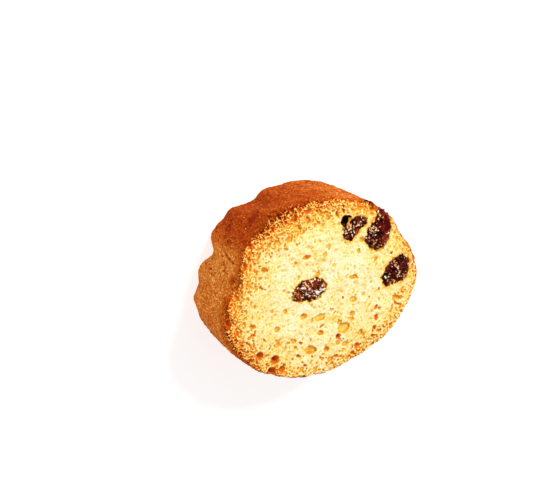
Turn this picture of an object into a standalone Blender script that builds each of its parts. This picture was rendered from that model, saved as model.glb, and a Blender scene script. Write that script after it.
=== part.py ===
# Raisin rusk: one thick slice of a raisin loaf, baked twice. It lies on its back cut
# face with the other cut face up, and its raisins are pieces of their own, sunk in the
# crumb or, one of them, in the crust.
#
# Sizes are in millimetres and turns in degrees until a piece is placed. X runs along the
# slice's long side, Y across it, and Z up through its thickness.

import math
import random

import bmesh
import bpy
from mathutils import Euler, Matrix, Vector, noise

MM = 0.001

# The slice
HALF_LENGTH = 31.4
HALF_WIDTH = 26.8
OUTLINE_TURN = 12.0
THICKNESS = 19.5
BELLY = 0.2                 # how far the crust swells between the two cut faces
BACK_ROUNDING = 0.5         # of the edge at the back cut face
SHARP_ROUNDING = 0.45       # of the edge at the shown face, to the right and below
CRAGGED_ROUNDING = 1.5      # of the same edge to the upper left, where it has crumbled
CRAGGED_SIDE = 165.0        # the direction where the edge has crumbled most
CRAGGED_SPREAD = 55.0

# Swellings and dents of the outline: direction, rise and spread. A negative rise is a dent.
FRONT_SWELLINGS = (
    (342, 1.0, 10), (2, 1.8, 9), (17, 0.3, 5), (30, -1.0, 7), (75, -0.3, 15), (105, 0.35, 6),
    (126, 1.6, 6), (150, 1.0, 4), (172, -3.0, 8.5), (210, 0.85, 12), (240, 0.2, 8),
    (298, -0.35, 9), (325, 0.4, 8),
)
BACK_SWELLINGS = (
    (342, 0.9, 10), (2, 1.8, 9), (30, -1.0, 7), (53, -0.9, 9), (88, 0.4, 9),
    (113, 0.8, 4), (122, -1.2, 4), (137, 1.1, 3), (150, 0.6, 5), (165, -3.6, 4.5),
    (183, -1.5, 4.5), (191, 0.7, 3), (216, -0.4, 8), (242, 1.9, 8), (300, -0.65, 10),
)

# How finely the slice is divided
SEGMENTS = 104
FACE_RINGS = 11
FACE_RING_CROWDING = 0.7    # under 1 brings the rings of the shown face closer at its edge
EDGE_RINGS = 3
SIDE_RINGS = 7
BACK_EDGE_RINGS = 2
BACK_RINGS = 3

# Relief of the surfaces
FACE_WAVE = 0.22            # slow rise and fall of the shown face
FACE_WAVE_PERIOD = 9.0
CRUST_WAVE = 0.25           # shallow lumps of the crust
CRUST_WAVE_PERIOD = 6.5
CRAG_HEIGHT = 1.1           # crags of the crumbled edge
CRAG_PERIOD = 3.0
CRAG_WIDTH = 4.0            # how far they reach in from the edge
CRAG_DROP = 5.0             # and down the crust

# Large pores of the shown face: where, how wide along X and Y, and how deep
FACE_PORES = (
    (-14.2, -23.5, 2.7, 2.2, 2.2),
    (-13.3, -19.9, 2.2, 2.0, 2.2),
    (-18.6, -18.2, 2.3, 2.0, 1.5),
    (-10.8, -23.2, 1.8, 1.2, 1.5),
    (7.3, -15.3, 1.6, 1.6, 2.0),
    (8.9, -12.9, 4.5, 3.6, 1.0),
    (-1.7, -18.6, 4.4, 2.6, 1.2),
    (0.7, -8.8, 4.1, 2.2, 1.0),
    (1.2, -13.6, 2.1, 1.6, 0.9),
    (11.4, -4.3, 2.8, 1.9, 0.9),
    (10.6, 2.8, 2.8, 1.3, 0.9),
    (-5.7, 9.9, 3.0, 1.3, 0.9),
    (-9.2, 18.6, 3.3, 2.4, 1.0),
    (-19.1, 7.2, 2.3, 1.4, 1.0),
    (-11.2, -5.8, 1.7, 1.8, 1.0),
    (-21.9, -9.4, 1.4, 1.6, 1.2),
    (5.3, -22.3, 2.1, 1.6, 1.0),
    (15.1, -14.6, 1.5, 2.5, 1.0),
    (19.6, -13.8, 1.5, 1.9, 1.2),
    (-25.7, 9.0, 1.9, 2.4, 1.0),
    (3.1, 22.2, 1.2, 1.6, 1.2),
    (5.9, 20.0, 2.2, 3.4, 3.0),
)
SMALL_PORES = 12            # more of them on the shown face, scattered
BACK_PORES = 12
PORE_WIDTHS = (1.1, 2.3)
PORE_ROUNDNESS = (0.6, 1.0)
PORE_DEPTHS = (0.7, 1.3)
SMALL_PORE = 1.8            # up to this width a pore is made with fewer faces
PORE_CLEARANCE = 1.0        # of bread left between two pores, or a pore and a raisin
PORE_EDGE = 3.0             # scattered pores keep this far from the crust
PORE_TURN = 0.3             # radians, the most that one is turned
PORE_UNEVENNESS = (0.88, 1.08)
PORE_FLAT = 5.0             # round the middle of the back face, left whole to rest on

# Raisins. A raisin's place is its middle on the surface, and its own X runs along it.
# rise is how far it stands out of the surface, and depth how far it is sunk. lobes are
# swellings of its outline, as the slice's are, and a plain one has fewer faces.
FACE_RAISINS = {
    "raisin_1": {
        "place": (-3.8, -0.1), "length": 11.2, "width": 7.2, "turn": 12.0,
        "rise": 0.55, "depth": 4.2,
        "lobes": ((140, -0.25, 9), (193, 0.6, 10), (230, -0.4, 14), (302, 0.3, 9), (342, 0.25, 10)),
    },
    "raisin_2": {
        "place": (9.4, 17.8), "length": 8.2, "width": 5.0, "turn": 42.0,
        "rise": 0.45, "depth": 3.4,
        "lobes": ((110, -0.9, 10), (141, 1.0, 8), (219, 0.9, 11), (294, -1.0, 19), (333, 1.3, 8)),
    },
    "raisin_3": {
        "place": (18.0, 16.0), "length": 11.2, "width": 7.6, "turn": 84.0,
        "rise": 0.95, "depth": 4.6,
        "lobes": ((10, 1.5, 9), (37, -1.3, 14), (122, 1.1, 12), (183, 0.4, 12), (216, 0.5, 14),
                  (262, 0.3, 14), (325, -0.3, 12)),
    },
    "raisin_4": {
        "place": (25.3, 3.6), "length": 10.2, "width": 7.2, "turn": 48.0,
        "rise": 0.6, "depth": 4.2,
        "lobes": ((5, -0.4, 8), (26, 0.7, 8), (160, 0.8, 7), (190, 0.85, 8), (270, 1.0, 9),
                  (302, 0.5, 8)),
    },
}
CRUST_RAISINS = {
    "raisin_5": {
        "side": 57.5, "height": 17.3, "length": 5.0, "width": 2.6,
        "rise": 0.25, "depth": 2.2, "lobes": ((40, 0.2, 20),), "plain": True,
    },
}
BACK_RAISINS = {
    "raisin_6": {
        "place": (-15.5, 7.5), "length": 9.4, "width": 6.6, "turn": 25.0,
        "rise": 0.2, "depth": 3.6, "lobes": ((40, 0.5, 18), (190, 0.4, 16)), "plain": True,
    },
    "raisin_7": {
        "place": (14.5, -9.0), "length": 8.6, "width": 6.2, "turn": 118.0,
        "rise": 0.2, "depth": 3.4, "lobes": ((320, 0.4, 18), (160, -0.3, 14)), "plain": True,
    },
}
RAISIN_WAIST = 0.35         # the widest part lies this far below the surface
BACK_RAISIN_WAIST = 0.85    # deeper at the back, so that none stands out of the flat face
RAISIN_FINENESS = (24, 13)  # segments round its length, and rings along it
SMALL_RAISIN_FINENESS = (14, 9)
RAISIN_SQUARENESS = 0.8     # under 1 makes the flanks fuller than an ellipsoid's
WRINKLE_DEPTH = 0.7
WRINKLE_PERIOD = 2.6
WRINKLE_STRETCH = 2.0       # wrinkles run along the raisin
WRINKLE_SHARPNESS = 3.0     # more of it makes the furrows narrower
WRINKLE_SEED = Vector((11.3, 5.7, 3.1))
SOCKET_GAP = 0.3
SOCKET_MOUTH = 3.0          # how far a socket's cutter reaches out of the surface

# Colours as linear red, green and blue
BREAD_COLOUR = (0.83, 0.55, 0.17)
RAISIN_COLOUR = (0.07, 0.012, 0.006)


def clear_scene():
    for found in list(bpy.data.objects):
        bpy.data.objects.remove(found, do_unlink=True)


def make_collection(name):
    made = bpy.data.collections.new(name)
    bpy.context.scene.collection.children.link(made)
    return made


def make_material(name, colour, roughness):
    material = bpy.data.materials.new(name)
    material.use_nodes = True
    shader = material.node_tree.nodes["Principled BSDF"]
    shader.inputs["Base Color"].default_value = (*colour, 1.0)
    shader.inputs["Roughness"].default_value = roughness
    shader.inputs["Metallic"].default_value = 0.0
    return material


def make_object(name, shape, collection, material=None):
    """Turn a bmesh in millimetres into an object in metres."""
    bmesh.ops.scale(shape, vec=(MM, MM, MM), verts=shape.verts)
    mesh = bpy.data.meshes.new(name)
    shape.to_mesh(mesh)
    shape.free()
    mesh.shade_smooth()
    made = bpy.data.objects.new(name, mesh)
    collection.objects.link(made)
    if material:
        mesh.materials.append(material)
    return made


def edge_distance(direction, half_length, half_width, turn, swellings):
    """How far a turned ellipse with swellings reaches from its middle in a direction."""
    along = math.radians(direction - turn)
    reach = 1.0 / math.hypot(math.cos(along) / half_length, math.sin(along) / half_width)
    for middle, rise, spread in swellings:
        away = (direction - middle + 180.0) % 360.0 - 180.0
        reach += rise * math.exp(-0.5 * (away / spread) ** 2)
    return reach


def front_edge(direction):
    return edge_distance(direction, HALF_LENGTH, HALF_WIDTH, OUTLINE_TURN, FRONT_SWELLINGS)


def back_edge(direction):
    return edge_distance(direction, HALF_LENGTH, HALF_WIDTH, OUTLINE_TURN, BACK_SWELLINGS)


def crumbling(direction):
    """1 where the shown face's edge has crumbled most, falling to 0 round the slice."""
    away = (direction - CRAGGED_SIDE + 180.0) % 360.0 - 180.0
    return math.exp(-0.5 * (away / CRAGGED_SPREAD) ** 2)


def half_section(direction):
    """The slice cut through in one direction, as (distance from the middle, height)
    points from the middle of the shown face round to the middle of the back."""
    front = front_edge(direction)
    back = back_edge(direction)
    rounding = SHARP_ROUNDING + (CRAGGED_ROUNDING - SHARP_ROUNDING) * crumbling(direction)
    points = []
    for ring in range(1, FACE_RINGS + 1):
        share = (ring / FACE_RINGS) ** FACE_RING_CROWDING
        points.append((share * (front - rounding), THICKNESS))
    for ring in range(1, EDGE_RINGS + 1):
        bend = math.radians(90.0 * ring / EDGE_RINGS)
        reach = front - rounding * (1.0 - math.sin(bend))
        points.append((reach, THICKNESS - rounding * (1.0 - math.cos(bend))))
    for ring in range(1, SIDE_RINGS + 1):
        down = ring / SIDE_RINGS
        top = THICKNESS - rounding
        blend = down * down * (3.0 - 2.0 * down)
        reach = front + (back - front) * blend + BELLY * math.sin(math.pi * down)
        points.append((reach, top + (BACK_ROUNDING - top) * down))
    for ring in range(1, BACK_EDGE_RINGS + 1):
        bend = math.radians(90.0 * ring / BACK_EDGE_RINGS)
        reach = back - BACK_ROUNDING * (1.0 - math.cos(bend))
        points.append((reach, BACK_ROUNDING * (1.0 - math.sin(bend))))
    for ring in range(1, BACK_RINGS + 1):
        share = 1.0 - ring / (BACK_RINGS + 1)
        points.append((share * (back - BACK_ROUNDING), 0.0))
    return points


def lumps(point, period):
    """A smooth random height between about -1 and 1 that repeats nowhere."""
    return noise.noise(point / period) * 2.0


def slice_relief(point, direction):
    """How far the slice's surface is pushed outwards and upwards at a point."""
    below = THICKNESS - point.z
    from_edge = front_edge(direction) - math.hypot(point.x, point.y)
    crag_share = crumbling(direction) * math.exp(-((from_edge / CRAG_WIDTH) ** 2))
    crag = CRAG_HEIGHT * lumps(point, CRAG_PERIOD) * crag_share * max(0.0, 1.0 - below / CRAG_DROP)
    side = math.sin(math.pi * point.z / THICKNESS)
    out = CRUST_WAVE * lumps(point, CRUST_WAVE_PERIOD) * side + crag / 2.0
    face = max(0.0, 1.0 - below / CRAGGED_ROUNDING)
    up = (FACE_WAVE * lumps(point, FACE_WAVE_PERIOD) + crag) * face
    return out, up


def make_slice(collection, material):
    rings = FACE_RINGS + EDGE_RINGS + SIDE_RINGS + BACK_EDGE_RINGS + BACK_RINGS
    shape = bmesh.new()
    bmesh.ops.create_uvsphere(shape, u_segments=SEGMENTS, v_segments=rings + 1, radius=1.0)
    sections = {}
    for vert in shape.verts:
        ring = round(math.acos(max(-1.0, min(1.0, vert.co.z))) / math.pi * (rings + 1))
        if ring == 0 or ring == rings + 1:
            vert.co = Vector((0.0, 0.0, THICKNESS if ring == 0 else 0.0))
            continue
        direction = round(math.degrees(math.atan2(vert.co.y, vert.co.x)), 3) % 360.0
        if direction not in sections:
            sections[direction] = half_section(direction)
        reach, height = sections[direction][ring - 1]
        way = Vector((math.cos(math.radians(direction)), math.sin(math.radians(direction)), 0.0))
        point = way * reach + Vector((0.0, 0.0, height))
        out, up = slice_relief(point, direction) if height > 0.0 else (0.0, 0.0)
        vert.co = point + way * out + Vector((0.0, 0.0, up))
    bmesh.ops.triangulate(shape, faces=shape.faces)
    bmesh.ops.recalc_face_normals(shape, faces=shape.faces)
    return make_object("rusk", shape, collection, material)


def raisin_edge(raisin, direction):
    half_length = raisin["length"] / 2.0
    half_width = raisin["width"] / 2.0
    return edge_distance(direction, half_length, half_width, 0.0, raisin["lobes"])


def wrinkle(point, seed):
    """0 on a raisin's ridges and 1 in its furrows, which run along it."""
    stretched = Vector((point.x / WRINKLE_STRETCH, point.y, point.z)) / WRINKLE_PERIOD
    wave = noise.noise(stretched + WRINKLE_SEED * seed)
    return (1.0 - min(1.0, abs(wave) * WRINKLE_SHARPNESS)) ** 1.5


def raisin_form(raisin, grown, top, seed=None):
    """A raisin about its waist. grown widens it, top is how far it rises above the
    waist, and a seed wrinkles it."""
    shape = bmesh.new()
    fineness = SMALL_RAISIN_FINENESS if raisin.get("plain") else RAISIN_FINENESS
    bmesh.ops.create_uvsphere(
        shape, u_segments=fineness[0], v_segments=fineness[1], radius=1.0,
        matrix=Matrix.Rotation(math.pi / 2, 4, "Y"))
    depth = raisin["depth"] - RAISIN_WAIST + grown
    for vert in shape.verts:
        flat = math.hypot(vert.co.x, vert.co.y)
        direction = math.degrees(math.atan2(vert.co.y, vert.co.x)) % 360.0
        reach = (raisin_edge(raisin, direction) + grown) * flat ** RAISIN_SQUARENESS
        way = Vector((vert.co.x, vert.co.y, 0.0)) / max(flat, 1e-6)
        height = vert.co.z * (top if vert.co.z > 0.0 else depth)
        point = way * reach + Vector((0.0, 0.0, height))
        if seed is not None:
            inward = Vector((point.x, point.y, point.z * 2.0)).normalized()
            point -= inward * WRINKLE_DEPTH * wrinkle(point, seed)
        vert.co = point
    return shape


def place_on_face(raisin):
    place = Matrix.Translation((*raisin["place"], THICKNESS - RAISIN_WAIST))
    return place @ Matrix.Rotation(math.radians(raisin["turn"]), 4, "Z")


def place_on_back(raisin):
    place = Matrix.Translation((*raisin["place"], BACK_RAISIN_WAIST))
    turned = Matrix.Rotation(math.radians(raisin["turn"]), 4, "Z")
    return place @ turned @ Matrix.Rotation(math.pi, 4, "X")


def place_in_crust(raisin):
    side = math.radians(raisin["side"])
    reach = front_edge(raisin["side"]) - RAISIN_WAIST
    place = Matrix.Translation((reach * math.cos(side), reach * math.sin(side), raisin["height"]))
    facing_out = Euler((math.pi / 2, 0.0, math.pi / 2)).to_matrix().to_4x4()
    return place @ Matrix.Rotation(side, 4, "Z") @ facing_out


def make_raisin(name, raisin, place, seed, parts, cutters, material):
    """A raisin, and the cutter of the socket that it sits in."""
    shape = raisin_form(raisin, 0.0, raisin["rise"] + RAISIN_WAIST, seed)
    bmesh.ops.transform(shape, matrix=place, verts=shape.verts)
    make_object(name, shape, parts, material)
    socket = raisin_form(raisin, SOCKET_GAP, SOCKET_MOUTH)
    bmesh.ops.transform(socket, matrix=place, verts=socket.verts)
    make_object("socket_of_" + name, socket, cutters)


def clear_of(x, y, half, pores, raisins):
    """Whether a pore of this half width would keep its distance from pores and raisins."""
    for pore_x, pore_y, wide, long, _ in pores:
        if math.hypot(x - pore_x, y - pore_y) < half + max(wide, long) / 2.0 + PORE_CLEARANCE:
            return False
    for raisin in raisins:
        away_x = x - raisin["place"][0]
        away_y = y - raisin["place"][1]
        direction = math.degrees(math.atan2(away_y, away_x)) - raisin["turn"]
        reach = raisin_edge(raisin, direction % 360.0) + SOCKET_GAP + half + PORE_CLEARANCE
        if math.hypot(away_x, away_y) < reach:
            return False
    return True


def scatter_pores(count, taken, raisins, flat_middle, rng):
    """Further pores at random places, clear of the ones that are there."""
    pores = []
    while len(pores) < count:
        direction = rng.uniform(0.0, 360.0)
        limit = min(front_edge(direction), back_edge(direction)) - PORE_EDGE
        reach = limit * math.sqrt(rng.random())
        wide = rng.uniform(*PORE_WIDTHS)
        long = wide * rng.uniform(*PORE_ROUNDNESS)
        depth = rng.uniform(*PORE_DEPTHS)
        x = reach * math.cos(math.radians(direction))
        y = reach * math.sin(math.radians(direction))
        if reach - wide < flat_middle:
            continue
        if clear_of(x, y, wide / 2.0, (*taken, *pores), raisins):
            pores.append((x, y, wide, long, depth))
    return pores


def make_pore_cutter(name, pores, height, collection, rng):
    """One uneven blob for each pore, with its middle on the cut face."""
    shape = bmesh.new()
    for x, y, wide, long, depth in pores:
        size = Matrix.Diagonal((wide / 2.0, long / 2.0, depth, 1.0))
        turn = Matrix.Rotation(rng.uniform(-PORE_TURN, PORE_TURN), 4, "Z")
        place = Matrix.Translation((x, y, height)) @ turn @ size
        fineness = 2 if wide > SMALL_PORE else 1
        made = bmesh.ops.create_icosphere(shape, subdivisions=fineness, radius=1.0, matrix=place)
        middle = Vector((x, y, height))
        for vert in made["verts"]:
            vert.co = middle + (vert.co - middle) * rng.uniform(*PORE_UNEVENNESS)
    make_object(name, shape, collection)


def cut_away(body, cutters):
    for cutter in cutters.objects:
        cutter.hide_render = True
        cutter.display_type = "WIRE"
    cut = body.modifiers.new("pores_and_sockets", "BOOLEAN")
    cut.operation = "DIFFERENCE"
    cut.operand_type = "COLLECTION"
    cut.collection = cutters
    cut.solver = "EXACT"


def stand_on_origin(parts, cutters):
    """Hang everything on an empty that brings the middle of the underside to the origin."""
    points = [piece.matrix_world @ vert.co for piece in parts.objects for vert in piece.data.vertices]
    low = Vector([min(point[axis] for point in points) for axis in range(3)])
    high = Vector([max(point[axis] for point in points) for axis in range(3)])
    middle = bpy.data.objects.new("raisin_rusk", None)
    bpy.context.scene.collection.objects.link(middle)
    middle.location = (-(low.x + high.x) / 2.0, -(low.y + high.y) / 2.0, -low.z)
    for piece in (*parts.objects, *cutters.objects):
        piece.parent = middle


def main():
    clear_scene()
    parts = make_collection("raisin_rusk_parts")
    cutters = make_collection("raisin_rusk_cutters")
    bread = make_material("bread", BREAD_COLOUR, 0.85)
    fruit = make_material("raisin", RAISIN_COLOUR, 0.35)
    rng = random.Random(41)

    body = make_slice(parts, bread)
    placed = (
        (FACE_RAISINS, place_on_face), (CRUST_RAISINS, place_in_crust), (BACK_RAISINS, place_on_back))
    for raisins, put in placed:
        for name, raisin in raisins.items():
            seed = int(name.split("_")[1])
            make_raisin(name, raisin, put(raisin), seed, parts, cutters, fruit)

    small = scatter_pores(SMALL_PORES, FACE_PORES, FACE_RAISINS.values(), 0.0, rng)
    make_pore_cutter("face_pores", (*FACE_PORES, *small), THICKNESS, cutters, rng)
    behind = scatter_pores(BACK_PORES, (), BACK_RAISINS.values(), PORE_FLAT, rng)
    make_pore_cutter("back_pores", behind, 0.0, cutters, rng)
    cut_away(body, cutters)
    stand_on_origin(parts, cutters)


main()
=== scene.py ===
import math
import random

import bmesh
import bpy
import numpy as np
from mathutils import Matrix, Vector, noise
from mathutils.kdtree import KDTree


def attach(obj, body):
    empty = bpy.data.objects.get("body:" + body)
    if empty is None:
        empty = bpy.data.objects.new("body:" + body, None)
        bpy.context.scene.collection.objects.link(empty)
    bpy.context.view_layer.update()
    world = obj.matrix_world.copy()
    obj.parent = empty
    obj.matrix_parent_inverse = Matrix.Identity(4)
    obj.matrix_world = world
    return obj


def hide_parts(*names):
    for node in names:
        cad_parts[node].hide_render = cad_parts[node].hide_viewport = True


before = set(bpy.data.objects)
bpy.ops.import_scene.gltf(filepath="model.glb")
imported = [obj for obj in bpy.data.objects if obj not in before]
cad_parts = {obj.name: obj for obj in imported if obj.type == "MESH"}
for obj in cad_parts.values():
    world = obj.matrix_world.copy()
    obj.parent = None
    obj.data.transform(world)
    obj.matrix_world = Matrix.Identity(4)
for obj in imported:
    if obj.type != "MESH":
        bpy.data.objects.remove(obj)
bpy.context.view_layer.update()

scene = bpy.context.scene
mm = 0.001
print("frame loaded:", len(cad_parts), "solids")

# Lengths in the settings are in mm. Places on the slice are x and y on its shown face,
# from the middle of the face's outline. Directions round it are degrees, 0 at +X, 90 at +Y.

view = {
    "lens": 104.06,
    "place": (-226.64, 138.31, 383.56),     # looking down on the shown face
    "aim": (-12.62, 9.38, 8.85),
    "up": (0.0735, 0.9552, -0.2867),        # rolled until the slice leans as in the photo
    "clip": (0.01, 20.0),                   # m
}


def makeCamera():
    place = Vector(view["place"]) * mm
    back = (place - Vector(view["aim"]) * mm).normalized()
    right = Vector(view["up"]).cross(back).normalized()
    up = back.cross(right)
    camera = bpy.data.objects.new("camera", bpy.data.cameras.new("camera"))
    scene.collection.objects.link(camera)
    turn = Matrix((right, up, back)).transposed().to_4x4()
    camera.matrix_world = Matrix.Translation(place) @ turn
    camera.data.lens = view["lens"]
    camera.data.clip_start, camera.data.clip_end = view["clip"]
    scene.camera = camera


light = {
    "world": {"Color": (1.0, 1.0, 1.0, 1.0), "Strength": 0.42},
    "lamps": (
        # name, direction from the rusk, distance m, size m, watts
        ("key", (0.30, 0.66, 0.68), 0.55, 0.18, 2.6),
        ("fill", (-0.75, -0.05, 0.66), 0.60, 0.40, 0.90),
    ),
    "lampColour": (1.0, 0.985, 0.96),
    "floor": {
        "Base Color": (0.62, 0.62, 0.62, 1.0), "Roughness": 0.9, "Specular IOR Level": 0.1,
        "Emission Color": (1.0, 1.0, 1.0, 1.0),
        "Emission Strength": 0.6,   # lit from below, as on a light table
    },
    "floorSize": 6.0,               # m
}


def setSockets(node, values):
    for name, value in values.items():
        node.inputs[name].default_value = value


def makeLights():
    world = bpy.data.worlds.new("studio")
    world.use_nodes = True
    setSockets(world.node_tree.nodes["Background"], light["world"])
    scene.world = world
    for name, way, distance, size, watts in light["lamps"]:
        lamp = bpy.data.lights.new(name, "AREA")
        lamp.shape = "DISK"
        lamp.size = size
        lamp.energy = watts
        lamp.color = light["lampColour"]
        placed = bpy.data.objects.new(name, lamp)
        scene.collection.objects.link(placed)
        placed.location = Vector(way).normalized() * distance
        placed.rotation_euler = Vector(way).to_track_quat("Z", "Y").to_euler()
    scene.view_settings.view_transform = "Standard"


def makeFloor():
    shape = bmesh.new()
    bmesh.ops.create_grid(shape, x_segments=1, y_segments=1, size=light["floorSize"] / 2)
    floor = objectFrom(shape, "floor")
    pale, _, shader = newMaterial("paleFloor")
    setSockets(shader, light["floor"])
    dress(floor, pale)


def objectFrom(shape, name):
    mesh = bpy.data.meshes.new(name)
    shape.to_mesh(mesh)
    shape.free()
    made = bpy.data.objects.new(name, mesh)
    scene.collection.objects.link(made)
    return made


def copyOfSolid(node, name):
    shape = bmesh.new()
    shape.from_mesh(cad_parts[node].data)
    bmesh.ops.remove_doubles(shape, verts=shape.verts, dist=0.01 * mm)
    bmesh.ops.recalc_face_normals(shape, faces=shape.faces)
    return objectFrom(shape, name)


def applyModifiers(piece):
    graph = bpy.context.evaluated_depsgraph_get()
    finished = bpy.data.meshes.new_from_object(piece.evaluated_get(graph))
    unfinished = piece.data
    piece.modifiers.clear()
    piece.data = finished
    bpy.data.meshes.remove(unfinished)
    finished.name = piece.name


def evenMesh(piece, spacing, smoothing):
    remesh = piece.modifiers.new("evenMesh", "REMESH")
    remesh.mode = "VOXEL"
    remesh.voxel_size = spacing * mm
    remesh.use_smooth_shade = True
    relax = piece.modifiers.new("relax", "SMOOTH")
    relax.factor = 0.5
    relax.iterations = smoothing
    applyModifiers(piece)


def thinTo(piece, triangles, loose=None, looseFactor=0.0):
    # fewer triangles, of which fewer stay where loose is near 1
    now = sum(len(face.vertices) - 2 for face in piece.data.polygons)
    thin = piece.modifiers.new("thin", "DECIMATE")
    thin.ratio = min(1.0, triangles / now)
    if loose is not None:
        group = piece.vertex_groups.new(name="loose")
        steps = np.round(np.clip(loose, 0.1, 1.0) * 10).astype(int)
        for step in range(1, 11):
            group.add(np.flatnonzero(steps == step).tolist(), step / 10, "REPLACE")
        thin.vertex_group = "loose"
        thin.vertex_group_factor = looseFactor
    applyModifiers(piece)
    piece.vertex_groups.clear()
    piece.data.shade_smooth()


def readVectors(mesh, kind):
    flat = np.empty(len(mesh.vertices) * 3, np.float32)
    mesh.vertices.foreach_get(kind, flat)
    return flat.reshape(-1, 3).astype(float)


def readPoints(mesh):
    return readVectors(mesh, "co") / mm


def readNormals(mesh):
    return readVectors(mesh, "normal")


def writePoints(mesh, points):
    mesh.vertices.foreach_set("co", (points * mm).astype(np.float32).ravel())
    mesh.update()


def writeMasks(mesh, masks):
    for name, values in masks.items():
        layer = mesh.attributes.new(name, "FLOAT", "POINT")
        layer.data.foreach_set("value", values.astype(np.float32))


def treeOf(points):
    tree = KDTree(len(points))
    for index, point in enumerate(points):
        tree.insert(point, index)
    tree.balance()
    return tree


def ramp(values, low, high):
    share = np.clip((values - low) / (high - low), 0.0, 1.0)
    return share * share * (3.0 - 2.0 * share)


def fade(values, gone, whole):
    # 1 up to whole, falling to 0 at gone
    return ramp(-values, -gone, -whole)


def waves(points, period, seed, octaves=1):
    # smooth random heights from about -1 to 1
    shift = Vector((seed * 17.3, seed * -9.1, seed * 5.7))
    found = np.empty(len(points))
    for index, point in enumerate(points):
        at = Vector(point) / period + shift
        found[index] = noise.noise(at) if octaves == 1 else noise.fractal(at, 0.9, 2.1, octaves)
    return found * 1.8


def angleAway(directions, middle):
    return (directions - middle + 180.0) % 360.0 - 180.0


def bell(away, spread):
    return np.exp(-0.5 * (away / spread) ** 2)


def spots(places, where, ragged, uneven, gone, whole):
    # a mask of uneven ovals on the shown face: x, y, size along x, size along y
    mask = np.zeros(len(where))
    for x, y, sizeX, sizeY in places:
        near = np.hypot((where[:, 0] - x) / (sizeX / 2), (where[:, 1] - y) / (sizeY / 2))
        mask = np.maximum(mask, fade(near * (1.0 + uneven * ragged), gone, whole))
    return mask


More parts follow.
